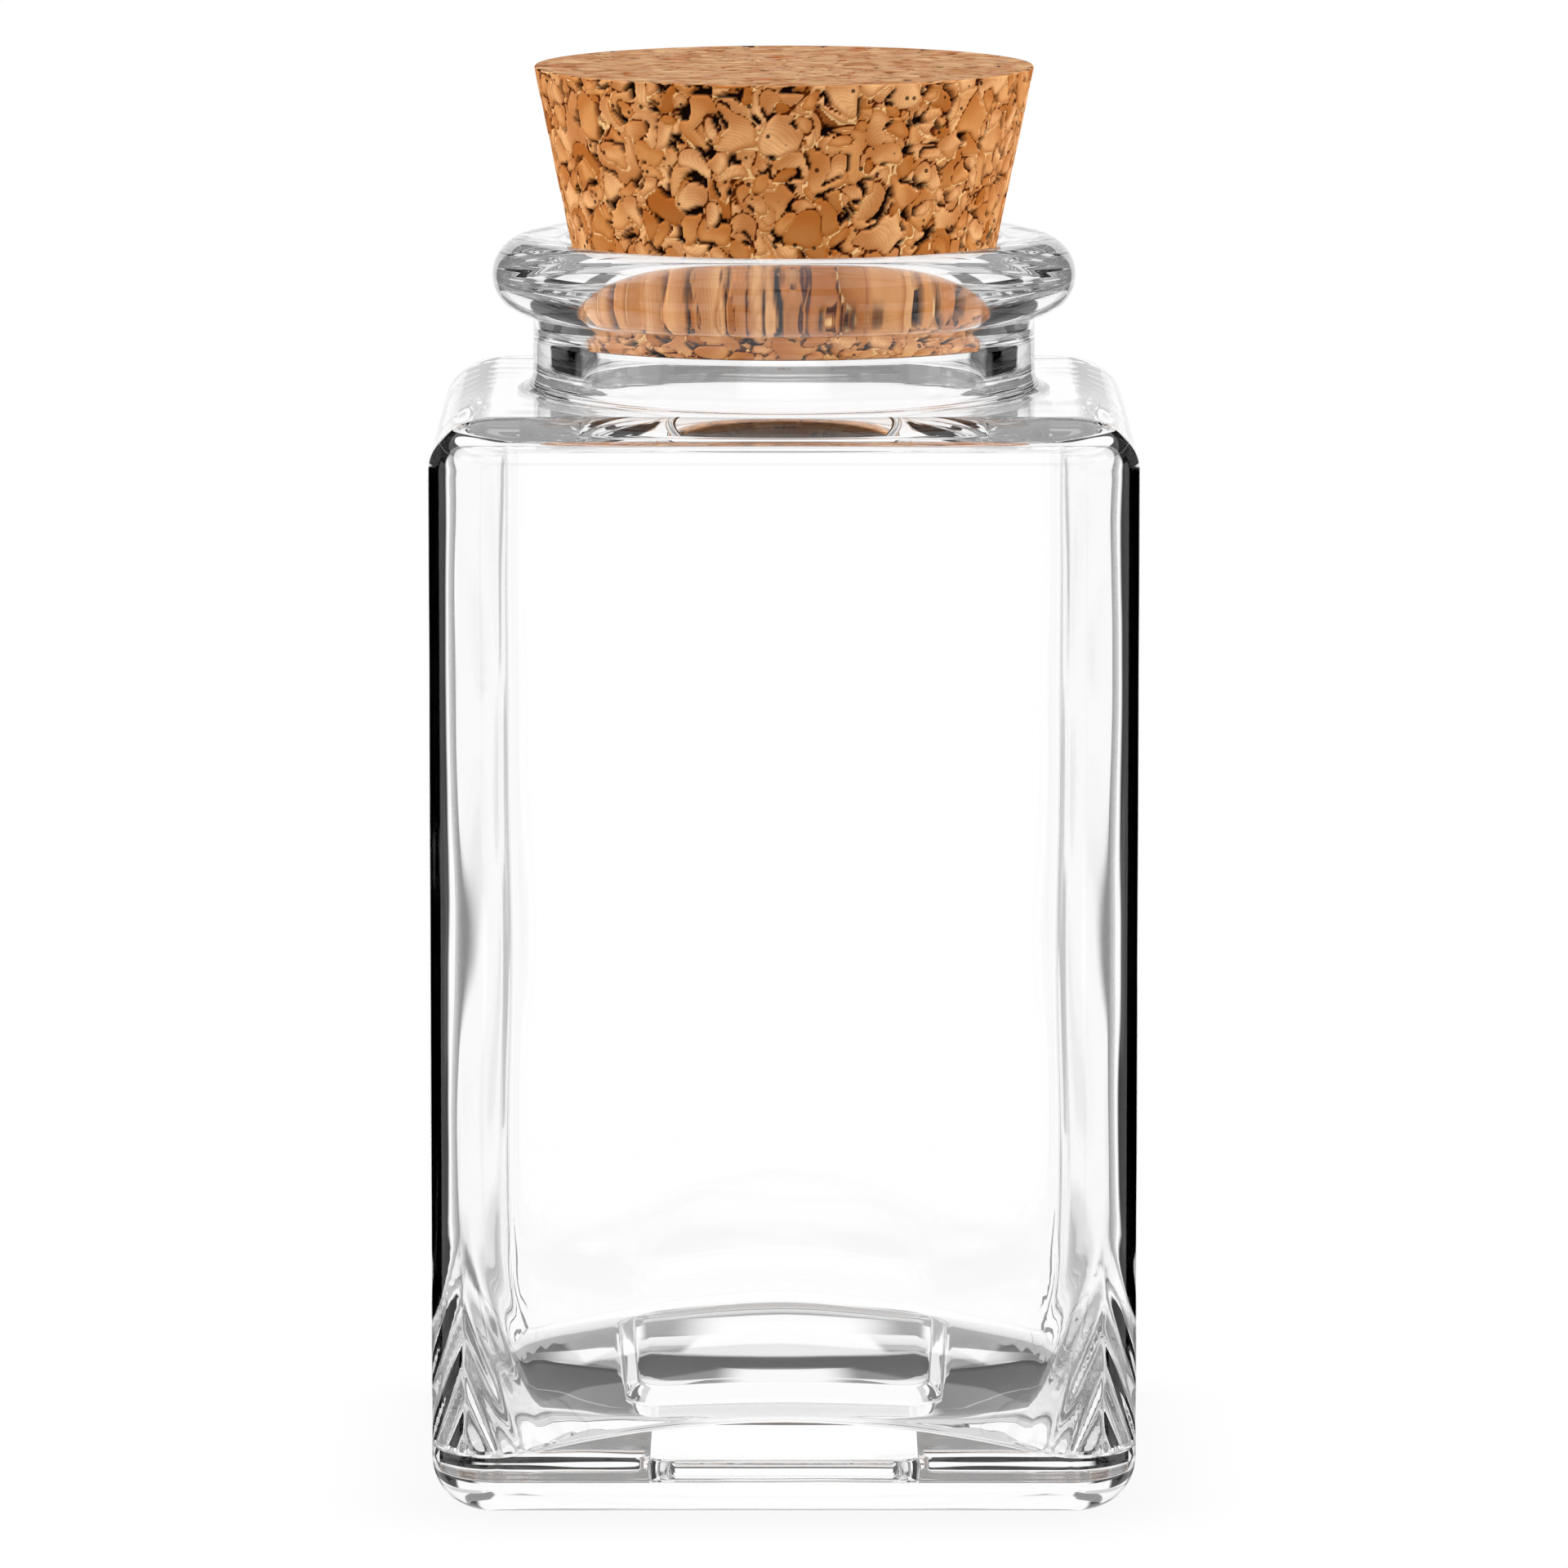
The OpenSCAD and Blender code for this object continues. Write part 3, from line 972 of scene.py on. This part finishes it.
# end lines: dark joints, and painted shade where they are stronger on the low side
END_LINE_WIDTH, END_LINE_SLOPE, END_LINE_LEAST = (0.22, 0.05), (0.3, -0.3), 0.30
CORK_SLIT = (0.006, 0.0015, 0.0005)
PIT_SHARE, END_DARKNESS = 0.85, 0.95
ROUGH_MIDDLE, ROUGH_BORDER = 0.72, 0.5
SPECULAR_LEVEL = 0.03
GRAIN_HEIGHT, CORK_BUMP, CORK_BUMP_DEPTH = 0.3, 0.5, 0.00012

# seam: a dark joint everywhere, and painted shadow where it grows stronger under the low edge
seam = times(tree, ranged(tree, near_edge, *SEAM_WIDTH), ranged(tree, slope, *SEAM_SLOPE, SEAM_LEAST, 1.0))
side_colour = blend_colour(tree, seam, body_colour, CORK_JOINT_AND_SHADOW)
# painted highlight: a thin pale line along the raised edge of each flake
painted_highlight_mask = times(tree, ranged(tree, near_edge, *LIT_WIDTH), ranged(tree, slope, *LIT_SLOPE))
side_colour = blend_colour(tree, times(tree, painted_highlight_mask, LIT_SHARE), side_colour, CORK_PAINTED_HIGHLIGHT)
end_colour = blend_colour(tree, END_SHARE, body_colour, END_COLOUR)
dark_flakes = times(tree, ranged(tree, tone, *DARK_TONES), DARK_TONE_SHARE)
end_colour = blend_colour(tree, dark_flakes, end_colour, CORK_DARK)
# end lines: dark joints at the flake borders, with painted shade on the low side of each flake
low_side_line_shade = ranged(tree, slope, *END_LINE_SLOPE, END_LINE_LEAST, 1.0)
end_joint_and_shade = times(tree, ranged(tree, near_edge, *END_LINE_WIDTH), low_side_line_shade)
end_colour = blend_colour(tree, end_joint_and_shade, end_colour, CORK_PAINTED_SHADE)
colour = blend_colour(tree, end, side_colour, end_colour)
dark = maths(tree, "MAXIMUM", slit, times(tree, pits, PIT_SHARE))
dark = times(tree, dark, ranged(tree, end, 0.0, 1.0, 1.0, END_DARKNESS))
colour = blend_colour(tree, dark, colour, CORK_SLIT)
tree.links.new(colour, shader.inputs["Base Color"])
tree.links.new(ranged(tree, border, 0.0, 1.0, ROUGH_MIDDLE, ROUGH_BORDER), shader.inputs["Roughness"])
shader.inputs["Specular IOR Level"].default_value = SPECULAR_LEVEL
height = maths(tree, "SUBTRACT", times(tree, grain, GRAIN_HEIGHT), pits)
bump_from(tree, height, CORK_BUMP, CORK_BUMP_DEPTH, shader)
cork_plug.data.materials.append(cork)
print("cork finish nodes:", len(tree.nodes))

# %% [markdown]
# ## The white studio: what the glass picks up
#
# In the photograph everything round the jar is pure white, yet its edges are black. That is how
# glass is lit: the camera sees a white field, while dark cards stand where only rays bent by the
# glass can find them. Real cards could be modelled, but they would get in the way of other views,
# so they are drawn on the world by direction. A ray through upright walls keeps its tilt, so each
# band of heights has its own cards: at wall height four of them leave white openings at the four
# flat sides, above them stand wider ones and a closed ring, and below are paler ones. A ray that
# is thrown about in the lip or the base for long sees more and more of one plain grey, which keeps
# those places calm.

# %% Studio world
CARDS = (  # how many, share of the round that they cover, low and high angle, darkness
    (4, 0.53, -12.3, 13.5, 1.0),
    (4, 0.80, 13.5, 33, 1.0),
    (8, 0.34, -34, -12.3, 0.75),
    (4, 0.50, -60, -34, 0.35),
)
CARD_SOFTNESS, LEVEL_SOFTNESS = 0.12, 0.008
CLOSED_RING = (25, 33)
DEEP_FROM, DEEP_TO, DEEP_SHADE = 8.0, 20.0, 0.68  # bounces, and the grey of long paths

world = bpy.data.worlds.new("white_studio")
bpy.context.scene.world = world
world.use_nodes = True
tree = world.node_tree
tree.nodes.clear()
direction = add(tree, "ShaderNodeSeparateXYZ")
tree.links.new(add(tree, "ShaderNodeTexCoord").outputs["Generated"], direction.inputs[0])
up = direction.outputs["Z"]
azimuth = maths(tree, "ARCTAN2", direction.outputs["X"], direction.outputs["Y"])
ray = add(tree, "ShaderNodeLightPath")


def level(low_angle, high_angle):
    """1 between two angles of elevation and 0 outside them, with soft edges."""
    low, high = math.sin(math.radians(low_angle)), math.sin(math.radians(high_angle))
    rise = ranged(tree, up, low - LEVEL_SOFTNESS, low + LEVEL_SOFTNESS)
    fall = ranged(tree, up, high + LEVEL_SOFTNESS, high - LEVEL_SOFTNESS)
    return times(tree, rise, fall)


def cards(count, cover, low_angle, high_angle, darkness):
    """Dark cards standing between so many white openings; cover is the share of the round they take."""
    turn = maths(tree, "COSINE", times(tree, azimuth, float(count)))
    limit = -math.cos(math.pi * cover)
    standing = ranged(tree, turn, limit + CARD_SOFTNESS, limit - CARD_SOFTNESS)
    return times(tree, times(tree, standing, level(low_angle, high_angle)), darkness)


shade_of_cards = level(*CLOSED_RING)
for one in CARDS:
    shade_of_cards = maths(tree, "MAXIMUM", cards(*one), shade_of_cards)
deep = ranged(tree, ray.outputs["Ray Depth"], DEEP_FROM, DEEP_TO)
short_path = times(tree, shade_of_cards, maths(tree, "SUBTRACT", 1.0, deep))
shade_in_glass = maths(tree, "ADD", short_path, times(tree, deep, DEEP_SHADE))
seen_in_glass = maths(tree, "SUBTRACT", 1.0, shade_in_glass, clamp=True)
print("rows of dark cards in the studio:", len(CARDS))

# %% [markdown]
# ## The white studio: the light on the cork
#
# The cork needs plain soft light: strong from the sides, weaker from straight above, so that its
# top is no brighter than its side, and almost none from below. Area lamps would show in the glass
# as bright shapes. So this light too comes from the world, but only the rays that gather soft
# light see it, while the camera itself sees plain white.

# %% Soft light
SIDE_LIGHT, ROUND_LIGHT = 4.2, 2.2
LOW_RANGE, LIGHT_FROM_BELOW = (-0.10, 0.22), 0.02
HIGH_RANGE, LIGHT_FROM_ABOVE = (0.25, 0.85), 0.17

sideways = times(tree, direction.outputs["X"], direction.outputs["X"])
all_round = maths(tree, "ADD", times(tree, sideways, SIDE_LIGHT), ROUND_LIGHT)
low_part = ranged(tree, up, *LOW_RANGE, LIGHT_FROM_BELOW, 1.0)
high_part = ranged(tree, up, *HIGH_RANGE, 1.0, LIGHT_FROM_ABOVE)
soft_light = times(tree, times(tree, all_round, low_part), high_part)
by_ray = add(tree, "ShaderNodeMix", data_type="FLOAT")
tree.links.new(ray.outputs["Is Diffuse Ray"], by_ray.inputs["Factor"])
tree.links.new(seen_in_glass, by_ray.inputs["A"])
tree.links.new(soft_light, by_ray.inputs["B"])
strength = maths(tree, "MAXIMUM", by_ray.outputs["Result"], ray.outputs["Is Camera Ray"])
backdrop = add(tree, "ShaderNodeBackground")
backdrop.inputs["Color"].default_value = (1.0, 1.0, 1.0, 1.0)
tree.links.new(strength, backdrop.inputs["Strength"])
tree.links.new(backdrop.outputs[0], add(tree, "ShaderNodeOutputWorld").inputs[0])
print("studio nodes:", len(tree.nodes))

# %% [markdown]
# ## The floor
#
# The jar stands on a sheet of white, lit from below so that it throws no shadow, with only a faint
# painted contact shadow where the base meets it. A white plane under lamps would turn grey and
# mirror in the glass, so the sheet glows by itself and only the camera sees it. The painted shadow
# is drawn by distance from the square base.

# %% Floor
FLOOR_HALF = 3.0
FLOOR_GAP = 0.0001
# painted contact shadow: the glow of the floor drops to SHADE_TONE near the base
SHADE_HALF = 0.020  # half width of the square that the grey is measured from, m
SHADE_REACH, SHADE_TONE = (0.004, 0.022), 0.93
corners = [(-FLOOR_HALF, -FLOOR_HALF, 0), (FLOOR_HALF, -FLOOR_HALF, 0)]
corners += [(FLOOR_HALF, FLOOR_HALF, 0), (-FLOOR_HALF, FLOOR_HALF, 0)]
floor_card = bpy.data.meshes.new("floor_card")
floor_card.from_pydata(corners, [], [(0, 1, 2, 3)])
floor = bpy.data.objects.new("floor_card", floor_card)
bpy.context.scene.collection.objects.link(floor)
floor.location.z = -FLOOR_GAP
floor_white = bpy.data.materials.new("floor_white")
floor_white.use_nodes = True
tree = floor_white.node_tree
tree.nodes.clear()
place = add(tree, "ShaderNodeSeparateXYZ")
tree.links.new(add(tree, "ShaderNodeTexCoord").outputs["Object"], place.inputs[0])


def squared_distance(socket):
    """The square of how far a coordinate lies outside the square under the jar."""
    off = maths(tree, "SUBTRACT", maths(tree, "ABSOLUTE", socket), SHADE_HALF)
    off = maths(tree, "MAXIMUM", off, 0.0)
    return times(tree, off, off)


outside = maths(tree, "ADD", squared_distance(place.outputs["X"]), squared_distance(place.outputs["Y"]))
# painted contact shadow, fading out with distance from the base
shade = ranged(tree, maths(tree, "SQRT", outside), *SHADE_REACH, SHADE_TONE, 1.0)
lamp = add(tree, "ShaderNodeEmission")
tree.links.new(shade, lamp.inputs["Strength"])
tree.links.new(lamp.outputs[0], add(tree, "ShaderNodeOutputMaterial").inputs[0])
floor_card.materials.append(floor_white)
floor.visible_diffuse = False
floor.visible_glossy = False
floor.visible_transmission = False
floor.visible_shadow = False
print("floor half width, m:", FLOOR_HALF)

# %% [markdown]
# ## How rays are counted
#
# A ray that enters the bead lip can run round inside it like light in a fibre. With the usual limit
# on bounces it is given up there and leaves a black speck, so the limit is set very high instead
# of cleaning the specks up later. The plain view transform keeps white paper white.

# %% Rays
MOST_BOUNCES = 128
scene = bpy.context.scene
scene.cycles.max_bounces = MOST_BOUNCES
scene.cycles.transmission_bounces = MOST_BOUNCES
scene.cycles.glossy_bounces = MOST_BOUNCES
scene.cycles.use_denoising = True
scene.view_settings.view_transform = "Standard"
scene.view_settings.look = "None"
print("bounces:", scene.cycles.max_bounces)
